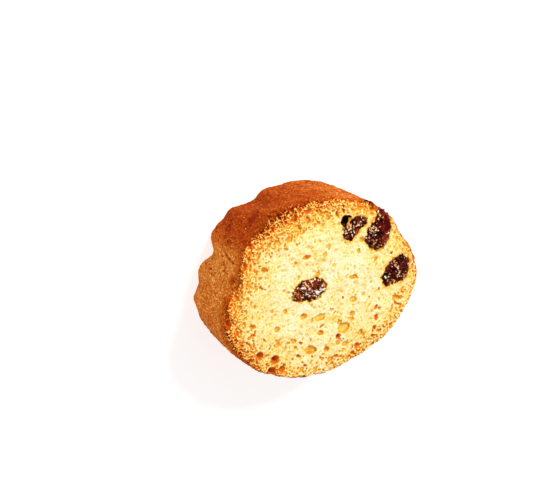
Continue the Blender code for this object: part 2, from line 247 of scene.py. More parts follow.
bread = {
    "middle": (-1.028, -0.004),     # the middle of the shown face's outline, in the frame
    "faceHeight": 19.5,
    "spacing": 0.18,
    "smoothing": 4,
    "triangles": 197000,
    "spared": (0.8, 0.00005),       # how much the shown face is spared when it is thinned
    "faceReach": (4.0, 1.5),        # how deep a cut face's marks end, and how deep they are whole
    # the crumbling, toasted band round the shown face: direction, spread, width, strength
    "toastedBand": (
        (128, 20, 4.2, 1.25), (165, 26, 3.6, 0.60), (203, 20, 3.2, 1.12), (105, 22, 3.0, 0.9),
        (233, 16, 2.1, 0.62), (265, 25, 1.8, 0.14), (314, 24, 2.6, 0.26), (345, 22, 1.2, 0.06),
        (9, 8, 1.7, 0.5), (40, 20, 1.4, 0.18), (75, 20, 2.4, 0.42),
    ),
    "bandFalloff": 1.7,
    "backBand": (2.4, 0.6),         # width and strength on the back
    "rimTone": 15.0,                # how far in the face darkens toward the rim
    "paleRim": ((280.0, 34.0, 0.60), (0.0, 28.0, 0.35)),    # less so there: direction, spread, share
    "crags": (0.40, 0.95),          # height where the band is strongest, and period
    # the surface's unevenness: height, period, seed, octaves, and where it is
    "relief": (
        (0.07, 0.7, 2, 2, "cut"), (0.12, 2.3, 4, 1, "cut"),
        (0.15, 2.2, 5, 3, "crust"), (0.07, 0.7, 6, 2, "crust"),
    ),
    "sinkRounds": 8,                # smoothing rounds that show the low places
    "deepSink": 0.13,               # painted shade of the low places: darkest from this depth
    "deepPore": 1.5,
    "wellInside": (1.5, 3.0),       # how far inside the crust the solid's pores are looked for
    "slack": (0.3, 0.2, 3.0),       # what is no hollow yet, on the face and the back, and the deepest
    "raisinReach": 1.6,             # how far round a raisin the bread is measured
    "besideRaisin": (1.3, 0.3),     # gone at, whole to
    "closing": 0.32,                # how far the crumb reaches toward a raisin beside it
    "closingDepth": (2.2, 0.8),     # below a cut face: gone at, whole to
    "overlap": (1.6, 0.9),          # unevenness of that reach, and period
    "flatBack": (0.12, 0.02),       # what lies so near the floor is flattened to this height
    "crustDepth": (0.35, 1.0, 0.9),     # whole to, gone at, and how much more on the side
    "crustEdge": (-0.3, 0.9),       # where it begins beside a cut face
    "sideTurn": (0.85, 0.55),       # how level the surface is where the side ends, and is whole
    "thinCrust": (284.0, 42.0, 0.68),   # where the crust hardly reaches the shown face
    # the paler side of the crust, between two directions, with the width of each edge
    "tanSide": ((154.5, 8.0), (330.0, 40.0)),
    "tanLow": (214.0, 18.0, 0.42),  # less pale there: direction, spread, share
    "tanRim": (5.0, 0.5, 0.50),     # less pale near the shown face: gone at, whole to, share
    "paintedLightLow": (243.0, 16.0, 0.50, 6.0, 0.5),  # painted light, lighter near it where that side lies in shade: direction, spread, share, depths
    "tanTop": (68.0, 22.0, 0.62),   # a little paler at the top too: direction, spread, share
    # ovals on the shown face: x, y, size along x and along y
    "pale": (
        (2.4, 3.4, 3.6, 2.4), (-4.5, -5.4, 5.0, 2.0), (-19.4, 0.8, 3.0, 1.6), (-7.9, 9.9, 2.6, 1.4),
        (21.1, 13.1, 3.0, 2.6), (5.6, 7.6, 4.0, 1.6),
    ),
    "yellow": ((-0.2, 8.7, 1.2, 2.4), (-2.7, 10.4, 1.6, 1.8), (5.0, -9.5, 4.0, 2.0)),
    "golden": (
        (8.9, -12.9, 4.5, 3.6), (-1.7, -18.6, 4.4, 2.6), (0.7, -8.8, 4.1, 2.2), (1.2, -13.6, 2.1, 1.6),
        (11.4, -4.3, 2.8, 1.9), (10.6, 2.8, 2.8, 1.3), (-5.7, 9.9, 3.0, 1.3), (-9.2, 18.6, 3.3, 2.4),
        (-19.1, 7.2, 2.3, 1.4), (-11.2, -5.8, 1.7, 1.8), (5.3, -22.3, 2.1, 1.6), (15.1, -14.6, 1.5, 2.5),
    ),
    "stain": ((16.4, 10.0, 2.6, 1.4), (15.5, 22.9, 2.4, 1.2)),
    "black": ((-3.3, -26.4, 1.1, 0.9),),
    # the edges of such ovals: how uneven, and at what share of their size gone and whole
    "ovalEdges": {
        "pale": (0.5, 1.5, 0.4), "yellow": (0.5, 1.4, 0.5), "golden": (0.25, 1.15, 0.8),
        "stain": (0.4, 1.4, 0.6), "black": (0.3, 1.25, 0.75), "crustMark": (0.3, 1.3, 0.5),
        "namedPore": (0.15, 1.12, 1.0), "largePore": (0.0, 1.6, 1.3),
    },
    "besideStain": 0.4,             # how much the crumb beside a raisin is stained
    "scorch": (0.8, 0.02, 0.12),    # how dark scorched pores are, from what depth to what depth
    "fringe": (0.75, 0.15),         # painted shade: the dark line round a raisin, where the crumb meets it: gone at, whole to
    "steepTurn": (0.95, 0.5),       # painted shade on steep walls: how level it is where it is steep no more, and fully so
    "steepShares": (0.7, 0.3, 0.5), # in the crumb, how much more in the band, and in the crust's edge
}

# marks in the crust: direction, height, size round the slice and up, dark share, depth
crustMarks = (
    (160.4, 11.4, 0.9, 2.4, 1.0, 0.22), (161.0, 13.2, 0.8, 2.4, 1.0, 0.22),
    (161.9, 15.4, 0.8, 2.6, 0.9, 0.18), (154.2, 10.7, 1.4, 0.5, 1.0, 0.15),
    (162.6, 7.3, 0.5, 1.6, 0.9, 0.12), (169.2, 11.8, 0.6, 1.4, 0.9, 0.12),
    (169.9, 13.1, 0.5, 1.3, 0.8, 0.10), (172.0, 5.5, 0.6, 1.2, 0.7, 0.10),
    (171.5, 16.6, 3.0, 2.6, 0.55, -0.20), (183.0, 9.0, 2.2, 1.4, 0.20, 0.0),
    (192.0, 13.0, 3.4, 2.0, 0.16, 0.0), (135.0, 12.5, 4.0, 2.6, 0.40, 0.0),
    (146.0, 6.0, 3.0, 3.0, 0.35, 0.0), (122.0, 9.0, 3.0, 2.2, 0.30, 0.0),
)

# kinds of pores: how many, width, depth as a share of the width, least gap
pores = {
    "seed": 12,
    "medium": {"count": 70, "width": (1.0, 1.7), "depth": (0.25, 0.45), "gap": 0.8},
    "small": {"count": 1300, "width": (0.4, 0.9), "depth": (0.14, 0.36), "gap": 0.25},
    "scorched": {"count": 34, "width": (0.55, 1.0), "depth": (0.5, 0.9), "gap": 0.5},
    "scorchedSide": (305.0, 40.0, 9.0),     # where these are: direction, spread, width
    "band": {"count": 1800, "width": (0.36, 0.85), "depth": (0.5, 0.9), "gap": 0.02},
    "crust": {"count": 160, "width": (0.4, 0.9), "depth": (0.15, 0.35), "gap": 0.8},
    "raggedness": 0.5,
    "raggedPeriod": 0.7,
    "lean": 0.35,
    "longest": 1.7,                 # times the width
    "fewWide": 1.6,                 # the higher, the more are near their least width
    "bowl": 0.6,                    # the lower, the flatter the floors
    "reach": 0.75,                  # how far a ragged edge can lie from the middle, times the size
    "upright": 1.5,                 # how much more they face out of the cut than their spot does
    "insideRim": (0.8, 2.0),        # how far inside the crust they begin, and are as many as can be
    "level": 0.8,                   # how level the surface is where they are thrown
    "mediumShare": 0.9,
    "bandSpared": 0.7,              # how much fewer small ones the band has
    "inBand": (1.3, 0.2),           # how likely those of the band are, and how level their spots
}

# pores that the solid leaves out, and which of all pores are baked dark: x, y, size along x
# and along y, depth (0 where the solid has it), and how dark: above 0.5 burnt, above 1 black with painted
# shade, as deep holes in shadow
namedPores = (
    (-14.2, -23.5, 2.7, 2.2, 0.0, 0.0), (-13.3, -19.9, 2.2, 2.0, 0.0, 0.0),
    (-18.6, -18.2, 2.3, 2.0, 0.0, 0.0), (-10.8, -23.2, 1.8, 1.2, 0.0, 0.0),
    (7.3, -15.3, 1.7, 1.7, 0.0, 0.90), (5.9, 20.0, 2.2, 3.4, 0.0, 1.6),
    (-14.1, -23.8, 3.1, 2.8, 0.3, 1.0), (-13.3, -20.3, 2.7, 2.6, 0.3, 0.95),
    (-18.5, -18.6, 2.8, 2.8, 0.3, 0.65), (-10.8, -23.4, 2.4, 1.7, 0.3, 1.0),
    (6.0, 20.2, 2.0, 2.2, 0.6, 1.6), (6.9, 21.1, 2.2, 0.9, 0.5, 1.6),
    (-21.3, -12.0, 1.6, 0.9, 0.8, 0.6), (20.0, -10.7, 1.4, 1.6, 0.8, 0.8),
    (-12.7, 12.8, 1.3, 0.9, 0.6, 0.3), (0.3, 21.0, 1.3, 0.9, 0.7, 0.5),
    (1.4, 12.6, 1.7, 1.2, 0.6, 0.3), (11.6, 10.5, 1.0, 1.2, 0.6, 0.4),
    (11.5, -10.4, 1.4, 1.3, 0.6, 0.4), (14.2, -18.9, 1.8, 1.6, 0.9, 0.6),
    (12.9, -21.0, 1.4, 1.3, 0.9, 0.8), (10.3, -17.9, 2.5, 1.3, 0.7, 0.4),
    (17.7, 7.7, 1.4, 1.2, 0.7, 0.3), (-19.4, 1.7, 1.0, 0.6, 0.5, 0.6),
    (-10.2, 21.6, 1.0, 1.8, 0.9, 0.9), (-9.2, 24.1, 1.6, 1.2, 0.9, 0.9),
    (-6.5, 23.4, 2.0, 1.5, 0.9, 0.9), (-18.0, 22.4, 2.6, 1.2, 1.1, 1.0),
    (-24.0, 14.7, 1.3, 1.5, 0.9, 0.9), (-29.1, -8.1, 1.6, 2.7, 1.0, 0.9),
    (-21.2, -19.6, 1.6, 1.2, 0.9, 0.9), (5.05, 24.4, 0.45, 1.3, 0.8, 1.3),
    (5.3, 22.9, 0.45, 1.2, 0.8, 1.2), (15.2, 22.9, 2.2, 0.9, 0.6, 0.9),
)


def reachTable(points):
    # how far the crust reaches from the middle, by height and direction
    heights, directions = 14, 220
    table = np.zeros((heights, directions))
    away = points[:, :2] - np.array(bread["middle"])
    reach = np.hypot(away[:, 0], away[:, 1])
    turn = np.degrees(np.arctan2(away[:, 1], away[:, 0])) % 360.0
    level = np.clip((points[:, 2] / bread["faceHeight"] * heights).astype(int), 0, heights - 1)
    slot = (turn / 360.0 * directions).astype(int) % directions
    np.maximum.at(table, (level, slot), reach)
    return (np.roll(table, 1, 1) + 3.0 * table + np.roll(table, -1, 1)) / 5.0


def reachOf(table, directions, heights):
    rows, columns = table.shape
    column = directions / 360.0 * columns - 0.5
    left = np.floor(column).astype(int)
    across = column - left
    row = np.clip(heights / bread["faceHeight"] * rows - 0.5, 0.0, rows - 1.001)
    low = np.floor(row).astype(int)
    up = row - low
    lower = table[low, left % columns] * (1 - across) + table[low, (left + 1) % columns] * across
    upper = table[low + 1, left % columns] * (1 - across) + table[low + 1, (left + 1) % columns] * across
    return lower * (1 - up) + upper * up


def mapBread(points, normals):
    # where each point of the bread lies: on a cut face, in the toasted band, on the crust
    away = points[:, :2] - np.array(bread["middle"])
    direction = np.degrees(np.arctan2(away[:, 1], away[:, 0])) % 360.0
    reach = np.hypot(away[:, 0], away[:, 1])
    inset = reachOf(reachTable(points), direction, points[:, 2]) - reach
    above, below = points[:, 2], bread["faceHeight"] - points[:, 2]
    onFace, onBack = fade(below, *bread["faceReach"]), fade(above, *bread["faceReach"])
    side = fade(np.abs(normals[:, 2]), *bread["sideTurn"])

    def toward(middle, spread):
        return bell(angleAway(direction, middle), spread)

    middle, spread, share = bread["thinCrust"]
    thickness = 1.0 - share * toward(middle, spread) * (below < bread["faceHeight"] / 2)
    whole, gone, more = bread["crustDepth"]
    crust = 1.0 - ramp(inset, (whole + more * side) * thickness, (gone + more * side) * thickness)
    crust *= ramp(np.minimum(below, above), *bread["crustEdge"])

    inward = np.maximum(inset, 0.0)
    band = np.zeros(len(points))
    for middle, spread, width, strength in bread["toastedBand"]:
        share = toward(middle, spread) * strength
        band = np.maximum(band, share * np.exp(-(inward / width) ** bread["bandFalloff"]))
    width, strength = bread["backBand"]
    band = np.where(onFace > onBack, band, strength * np.exp(-(inward / width) ** 2))

    (start, startEdge), (end, endEdge) = bread["tanSide"]
    along = (direction - start + 90.0) % 360.0 - 90.0
    tan = ramp(along, -startEdge, startEdge) * (1.0 - ramp(along - (end - start), -endEdge, endEdge))
    middle, spread, share = bread["tanLow"]
    tan *= 1.0 - share * toward(middle, spread)
    gone, whole, share = bread["tanRim"]
    tan *= 1.0 - share * fade(below, gone, whole)
    # painted light: the crust is lighter low on that side, where it falls in shade
    middle, spread, share, gone, whole = bread["paintedLightLow"]
    tan += share * toward(middle, spread) * fade(below, gone, whole)
    middle, spread, share = bread["tanTop"]
    tan = np.maximum(tan, share * toward(middle, spread))
    return {
        "where": away, "direction": direction, "reach": reach, "inset": inset, "above": above,
        "below": below, "onFace": onFace, "onBack": onBack, "crust": crust, "cut": 1.0 - crust,
        "band": band, "tan": tan,
    }


def sinkOf(mesh, points, normals, rounds):
    # how far each point lies below the smoothed surface round it
    ends = np.empty(len(mesh.edges) * 2, np.int32)
    mesh.edges.foreach_get("vertices", ends)
    first, second = ends.reshape(-1, 2).T
    total = len(points)
    joined = np.bincount(first, minlength=total) + np.bincount(second, minlength=total)
    smooth = points.copy()
    for _ in range(rounds):
        smooth = np.stack([
            (np.bincount(first, smooth[second, axis], total)
             + np.bincount(second, smooth[first, axis], total)) / joined for axis in range(3)], 1)
    return np.sum((smooth - points) * normals, axis=1)


def pickPlaces(points, weights, kind, taken, rng):
    # throws pores on the surface, denser where the weight is higher, none on another
    places = []
    order = list(range(len(points)))
    rng.shuffle(order)
    cell = 2.0                      # wider than any pore and its gap
    least, most = kind["width"]
    for index in order:
        if len(places) >= kind["count"]:
            break
        if weights[index] <= rng.random():
            continue
        width = least + (most - least) * rng.random() ** pores["fewWide"]
        at = points[index]
        key = tuple((at // cell).astype(int))
        near = [
            other for dx in (-1, 0, 1) for dy in (-1, 0, 1) for dz in (-1, 0, 1)
            for other in taken.get((key[0] + dx, key[1] + dy, key[2] + dz), ())]
        if any(math.dist(at, there) < (width + wide) / 2 + kind["gap"] for there, wide in near):
            continue
        taken.setdefault(key, []).append((at, width))
        places.append((index, width))
    return places


def pressPore(points, tree, pore, ragged, hollow):
    # pushes the surface in over an uneven oval, and notes how deep it went
    at, outward, along, length, width, depth = pore
    across = outward.cross(along).normalized()
    along = across.cross(outward).normalized()
    for _, index, _ in tree.find_range(at, max(length, width) * pores["reach"]):
        offset = Vector(points[index]) - at
        near = math.hypot(offset.dot(along) / (length / 2), offset.dot(across) / (width / 2))
        near *= 1.0 + pores["raggedness"] * ragged[index]
        if near < 1.0:
            hollow[index] = max(hollow[index], depth * (1.0 - near * near) ** pores["bowl"])


def poreWeights(normals, zones):
    # how likely each kind of pore is at each point
    flat = ramp(zones["inset"], *pores["insideRim"]) * (zones["onFace"] + zones["onBack"])
    flat *= (np.abs(normals[:, 2]) > pores["level"]) * zones["open"]
    middle, spread, width = pores["scorchedSide"]
    scorchedSide = bell(angleAway(zones["direction"], middle), spread) * flat
    likely, facing = pores["inBand"]
    facesUp = normals[:, 2] > facing
    return {
        "medium": flat * (1.0 - zones["band"]) * pores["mediumShare"],
        "small": flat * (1.0 - pores["bandSpared"] * zones["band"]),
        "band": np.clip(zones["band"] * likely, 0, 1) * zones["cut"] * facesUp * zones["open"],
        "scorched": scorchedSide * np.exp(-zones["inset"] / width) * zones["onFace"],
        "crust": (zones["crust"] > 0.9) * 1.0,
    }


def makePores(points, normals, zones):
    rng = random.Random(pores["seed"])
    tree = treeOf(points)
    weights = poreWeights(normals, zones)
    hollow, scorched = np.zeros(len(points)), np.zeros(len(points))
    taken = {}
    for name in ("medium", "scorched", "band", "small", "crust"):
        kind = pores[name]
        for index, width in pickPlaces(points, weights[name], kind, taken, rng):
            outward = Vector(normals[index])
            if name != "crust":
                out = 1 if zones["onFace"][index] > 0.5 else -1
                outward = Vector((0, 0, out)) * pores["upright"] + outward
            lean = Vector([rng.uniform(-1, 1) for _ in range(3)]) * pores["lean"]
            outward = (outward.normalized() + lean).normalized()
            rimward = Vector((-zones["where"][index][1], zones["where"][index][0], 0)).normalized()
            along = rimward + Vector([rng.uniform(-1, 1) for _ in range(3)])
            length = width * rng.uniform(1.0, pores["longest"])
            depth = width * rng.uniform(*kind["depth"])
            pore = (Vector(points[index]), outward, along, length, width, depth)
            pressPore(points, tree, pore, zones["ragged"], hollow)
            if name == "scorched":
                pressPore(points, tree, pore, zones["ragged"], scorched)
    for x, y, sizeX, sizeY, depth, _ in namedPores:
        if depth:
            at = Vector((x + bread["middle"][0], y + bread["middle"][1], bread["faceHeight"]))
            at = Vector(points[tree.find(at)[1]])
            pore = (at, Vector((0, 0, 1)), Vector((1, 0, 0)), sizeX, sizeY, depth)
            pressPore(points, tree, pore, zones["ragged"], hollow)
    return hollow, scorched


def markCrust(zones):
    # darker marks, and how deep they are pressed in
    dark, depth = 0.0 * zones["crust"], 0.0 * zones["crust"]
    uneven, gone, whole = bread["ovalEdges"]["crustMark"]
    for direction, height, sizeRound, sizeUp, share, deep in crustMarks:
        aside = np.radians(angleAway(zones["direction"], direction)) * zones["reach"]
        near = np.hypot(aside / (sizeRound / 2), (zones["above"] - height) / (sizeUp / 2))
        mask = fade(near * (1.0 + uneven * zones["ragged"]), gone, whole) * zones["crust"]
        dark = np.maximum(dark, mask * share)
        depth = np.where(np.abs(mask * deep) > np.abs(depth), mask * deep, depth)
    return dark, depth


def raisinsNear(points, fruits):
    # how far each point of the bread is from a raisin (9 where none is near), and the way to it
    # along the face
    far, toward = np.full(len(points), 9.0), np.zeros((len(points), 3))
    for fruit in fruits:
        skin = readPoints(fruit.data)
        tree = treeOf(skin)
        low, high = skin.min(0) - bread["raisinReach"], skin.max(0) + bread["raisinReach"]
        for index in np.flatnonzero(np.all((points > low) & (points < high), axis=1)):
            there, _, away = tree.find(points[index])
            if away < far[index]:
                far[index] = away
                toward[index] = np.array(there) - points[index]
    toward[:, 2] = 0.0
    return far, toward / np.maximum(np.linalg.norm(toward, axis=1), 1e-6)[:, None]


def onBread(zones, kind, places=None):
    return spots(places or bread[kind], zones["where"], zones["ragged"], *bread["ovalEdges"][kind])


def deepenHollows(hollow, zones):
    # the solid's own pores are hollows too
    inside = ramp(zones["inset"], *bread["wellInside"])
    faceSlack, backSlack, deepest = bread["slack"]
    sunkFace = np.clip(zones["below"] - faceSlack, 0.0, deepest) * zones["onFace"] * inside
    sunkBack = np.clip(zones["above"] - backSlack, 0.0, deepest) * zones["onBack"] * inside
    return np.maximum(hollow, np.maximum(sunkFace, sunkBack))


def breadMasks(zones):
    # what the material reads
    face, far = zones["onFace"] * zones["cut"], zones["far"]
    darkest, shallow, deep = bread["scorch"]
    burnt = darkest * ramp(zones["scorched"], shallow, deep)
    golden = onBread(zones, "golden")
    for x, y, sizeX, sizeY, _, dark in namedPores:
        oval = onBread(zones, "namedPore", [(x, y, sizeX, sizeY)])
        if dark > 0.5:
            burnt = np.maximum(burnt, oval * dark * zones["onFace"])
        else:
            golden = np.maximum(golden, oval * dark * 2.0)
    rimward = np.clip(1.0 - zones["inset"] / bread["rimTone"], 0.0, 1.0)
    for direction, spread, share in bread["paleRim"]:
        rimward *= 1.0 - share * bell(angleAway(zones["direction"], direction), spread)
    stain = fade(far, *bread["besideRaisin"]) * bread["besideStain"] * face
    plain, more, least = bread["steepShares"]
    steepPart = np.maximum(zones["cut"] * (plain + more * zones["band"]), least * zones["band"])
    return {
        **{name: zones[name] for name in ("band", "crust", "tan", "marks")},
        **{name: onBread(zones, name) * face for name in ("pale", "yellow")},
        # painted shade: the material paints a pore darker the deeper it is
        "hollow": np.clip(zones["hollow"] / bread["deepPore"], 0.0, 1.0),
        "burnt": burnt,
        "rimward": rimward,
        "golden": golden * face,
        # painted shade in the low places, and a painted highlight on the raised ones
        "sink": np.clip(zones["sink"] / bread["deepSink"], 0.0, 1.0),
        "raised": np.clip(-zones["sink"] / bread["deepSink"], 0.0, 1.0),
        # painted shade: steep walls are painted darker and warmer
        "steep": fade(zones["level"], *bread["steepTurn"]) * (steepPart * zones["onFace"]),
        # painted shade: the crumb right beside a raisin is darker
        "fringe": fade(far, *bread["fringe"]) * face,
        "stain": np.maximum(stain, onBread(zones, "stain") * face),
        "black": onBread(zones, "black") * zones["onFace"],
    }


def makeBread(fruits):
    piece = copyOfSolid("rusk", "bread")
    evenMesh(piece, bread["spacing"], bread["smoothing"])
    mesh = piece.data
    points, normals = readPoints(mesh), readNormals(mesh)
    zones = mapBread(points, normals)
    print("bread divided:", len(points), "points")

    large = [pore[:4] for pore in namedPores if pore[4] == 0.0]
    zones["ragged"] = waves(points, pores["raggedPeriod"], 3)
    zones["open"] = 1.0 - onBread(zones, "largePore", large) * zones["onFace"]
    height, period = bread["crags"]
    lift = height * waves(points, period, 1, 3) * zones["band"] ** 2 * zones["onFace"] * zones["open"]
    for height, period, seed, octaves, zone in bread["relief"]:
        lift += height * waves(points, period, seed, octaves) * zones[zone]
    hollow, zones["scorched"] = makePores(points, normals, zones)
    zones["marks"], markDepth = markCrust(zones)
    print("pores pressed in")

    zones["far"], toward = raisinsNear(points, fruits)
    unevenness, period = bread["overlap"]
    closing = bread["closing"] * (1.0 + unevenness * waves(points, period, 7))
    depth = np.minimum(zones["below"], zones["above"])
    closing *= fade(zones["far"], *bread["besideRaisin"]) * fade(depth, *bread["closingDepth"])
    moved = points + normals * (lift - hollow - markDepth)[:, None] + toward * closing[:, None]
    moved[:, 2] = np.maximum(moved[:, 2], 0.0)
    near, flatHeight = bread["flatBack"]
    rests = (points[:, 2] < near) & (lift - hollow > -near)
    moved[rests, 2] = np.minimum(moved[rests, 2], flatHeight)
    writePoints(mesh, moved)

    normals = readNormals(mesh)
    zones["level"] = normals[:, 2]
    zones["sink"] = sinkOf(mesh, moved, normals, bread["sinkRounds"])
    zones["hollow"] = deepenHollows(hollow, zones)
    writeMasks(mesh, breadMasks(zones))
    spared, factor = bread["spared"]
    thinTo(piece, bread["triangles"], 1.0 - spared * zones["onFace"], factor)
    print("bread shaped:", len(piece.data.polygons), "triangles")
    return piece


def newMaterial(name):
    material = bpy.data.materials.new(name)
    material.use_nodes = True
    tree = material.node_tree
    return material, tree, tree.nodes["Principled BSDF"]


def addNode(tree, kind, inputs=None, **settings):
    node = tree.nodes.new(kind)
    for name, value in settings.items():
        setattr(node, name, value)
    for name, value in (inputs or {}).items():
        if isinstance(value, bpy.types.NodeSocket):
            tree.links.new(value, node.inputs[name])
        else:
            node.inputs[name].default_value = value
    return node


def colourRamp(tree, fac, stops):
    node = addNode(tree, "ShaderNodeValToRGB", {"Fac": fac})
    bar = node.color_ramp
    while len(bar.elements) > 1:
        bar.elements.remove(bar.elements[-1])
    for index, (position, colour) in enumerate(stops):
        stop = bar.elements[0] if index == 0 else bar.elements.new(position)
        stop.position = position
        stop.color = (*colour, 1.0)
    return node.outputs["Color"]


def mixColours(tree, fac, first, second):
    first, second = (
        value if isinstance(value, bpy.types.NodeSocket) else (*value, 1.0) for value in (first, second))
    node = addNode(tree, "ShaderNodeMix", {0: fac, 6: first, 7: second}, data_type="RGBA")
    return node.outputs[2]          # the colour, as 6 and 7 are the two colours going in


def calculate(tree, operation, first, second, clamp=False):
    node = addNode(tree, "ShaderNodeMath", {0: first, 1: second}, operation=operation, use_clamp=clamp)
    return node.outputs[0]


def scaleTo(tree, value, low, high):
    # 0 to 1 becomes low to high
    node = addNode(tree, "ShaderNodeMapRange", {"Value": value, "To Min": low, "To Max": high})
    return node.outputs["Result"]


def moveVector(tree, operation, first, second):
    return addNode(tree, "ShaderNodeVectorMath", {0: first, 1: second}, operation=operation).outputs[0]


def readMask(tree, name):
    return addNode(tree, "ShaderNodeAttribute", attribute_name=name).outputs["Fac"]


def newGroup(name, settings):
    # an effect with named settings and one mask coming out
    group = bpy.data.node_groups.new(name, "ShaderNodeTree")
    for setting, value in settings.items():
        socket = group.interface.new_socket(name=setting, in_out="INPUT", socket_type="NodeSocketFloat")
        socket.default_value = value
    group.interface.new_socket(name="Mask", in_out="OUTPUT", socket_type="NodeSocketFloat")
    return group, group.nodes.new("NodeGroupInput"), group.nodes.new("NodeGroupOutput")


def uprightPlaces(group, start):
    # where the effect is measured: Upright below 1 draws it out along the slice's thickness
    stretch = addNode(group, "ShaderNodeCombineXYZ", {"X": 1.0, "Y": 1.0, "Z": start.outputs["Upright"]})
    where = addNode(group, "ShaderNodeTexCoord").outputs["Object"]
    return moveVector(group, "MULTIPLY", where, stretch.outputs[0])


def mottleGroup():
    # uneven patches, with their size in mm and the noise levels of their edges
    group, start, end = newGroup("mottle", {
        "Size": 1.0, "Detail": 2.0, "Low": 0.4, "High": 0.6, "Shift": 0.0, "Upright": 1.0})
    where = moveVector(group, "ADD", uprightPlaces(group, start), start.outputs["Shift"])
    scale = calculate(group, "DIVIDE", 1.0 / mm, start.outputs["Size"])
    cloud = addNode(group, "ShaderNodeTexNoise", {
        "Vector": where, "Scale": scale, "Detail": start.outputs["Detail"], "Roughness": 0.6})
    mask = addNode(group, "ShaderNodeMapRange", {
        "Value": cloud.outputs["Fac"], "From Min": start.outputs["Low"],
        "From Max": start.outputs["High"]}, interpolation_type="SMOOTHSTEP")
    group.links.new(mask.outputs["Result"], end.inputs["Mask"])
    return group


def specksGroup():
    # scattered uneven specks: mm from one to the next, radius as a share of that, and how
    # many of the places hold one
    group, start, end = newGroup("specks", {
        "Size": 1.0, "Radius": 0.3, "Share": 0.5, "Wobble": 0.5, "Upright": 1.0})
    where = uprightPlaces(group, start)
    scale = calculate(group, "DIVIDE", 1.0 / mm, start.outputs["Size"])
    wobbleScale = calculate(group, "MULTIPLY", scale, 1.7)      # finer than the specks
    cloud = addNode(group, "ShaderNodeTexNoise", {"Vector": where, "Scale": wobbleScale, "Detail": 2.0})
    centred = moveVector(group, "SUBTRACT", cloud.outputs["Color"], (0.5, 0.5, 0.5))
    reach = calculate(group, "DIVIDE", start.outputs["Wobble"], scale)
    where = moveVector(group, "ADD", where, moveVector(group, "MULTIPLY", centred, reach))
    cells = addNode(group, "ShaderNodeTexVoronoi", {"Vector": where, "Scale": scale})
    chosen = addNode(group, "ShaderNodeSeparateColor", {"Color": cells.outputs["Color"]})
    isIn = calculate(group, "LESS_THAN", chosen.outputs[0], start.outputs["Share"])
    size = scaleTo(group, chosen.outputs[1], 0.6, 1.2)          # no two alike
    radius = calculate(group, "MULTIPLY", start.outputs["Radius"], size)
    inner = calculate(group, "MULTIPLY", radius, 0.45)          # the edge is soft
    disk = addNode(group, "ShaderNodeMapRange", {
        "Value": cells.outputs["Distance"], "From Min": radius, "From Max": inner},
        interpolation_type="SMOOTHSTEP")
    mask = calculate(group, "MULTIPLY", disk.outputs["Result"], isIn)
    group.links.new(mask, end.inputs["Mask"])
    return group


def gatherMarks(tree, look, groups):
    # the masks and patterns of a finish, by name
    marks = {name: readMask(tree, name) for name in look["masks"]}
    for kind, group in groups.items():
        for name, settings in look.get(kind, {}).items():
            marks[name] = addNode(tree, "ShaderNodeGroup", settings, node_tree=group).outputs[0]
    return marks


def toneOf(tree, marks, recipe):
    # a base and a share of each mark
    tone = recipe.get("base", 0.0)
    for name, share in recipe.items():
        if name != "base":
            tone = calculate(tree, "ADD", tone, calculate(tree, "MULTIPLY", marks[name], share))
    return tone


def addProducts(tree, marks, look):
    # marks that come of a mask times a tone
    for name, mask in look["products"].items():
        marks[name] = calculate(tree, "MULTIPLY", marks[mask], toneOf(tree, marks, look[name]))


def finishMaterial(tree, shader, look, colour, height, roughening=None):
    tree.links.new(colour, shader.inputs["Base Color"])
    if roughening is not None:
        rough = scaleTo(tree, roughening, *look["roughness"])
        tree.links.new(rough, shader.inputs["Roughness"])
    strength, distance = look["bump"]
    bump = addNode(tree, "ShaderNodeBump", {"Height": height, "Strength": strength, "Distance": distance})
    tree.links.new(bump.outputs["Normal"], shader.inputs["Normal"])
    setSockets(shader, look["finish"])


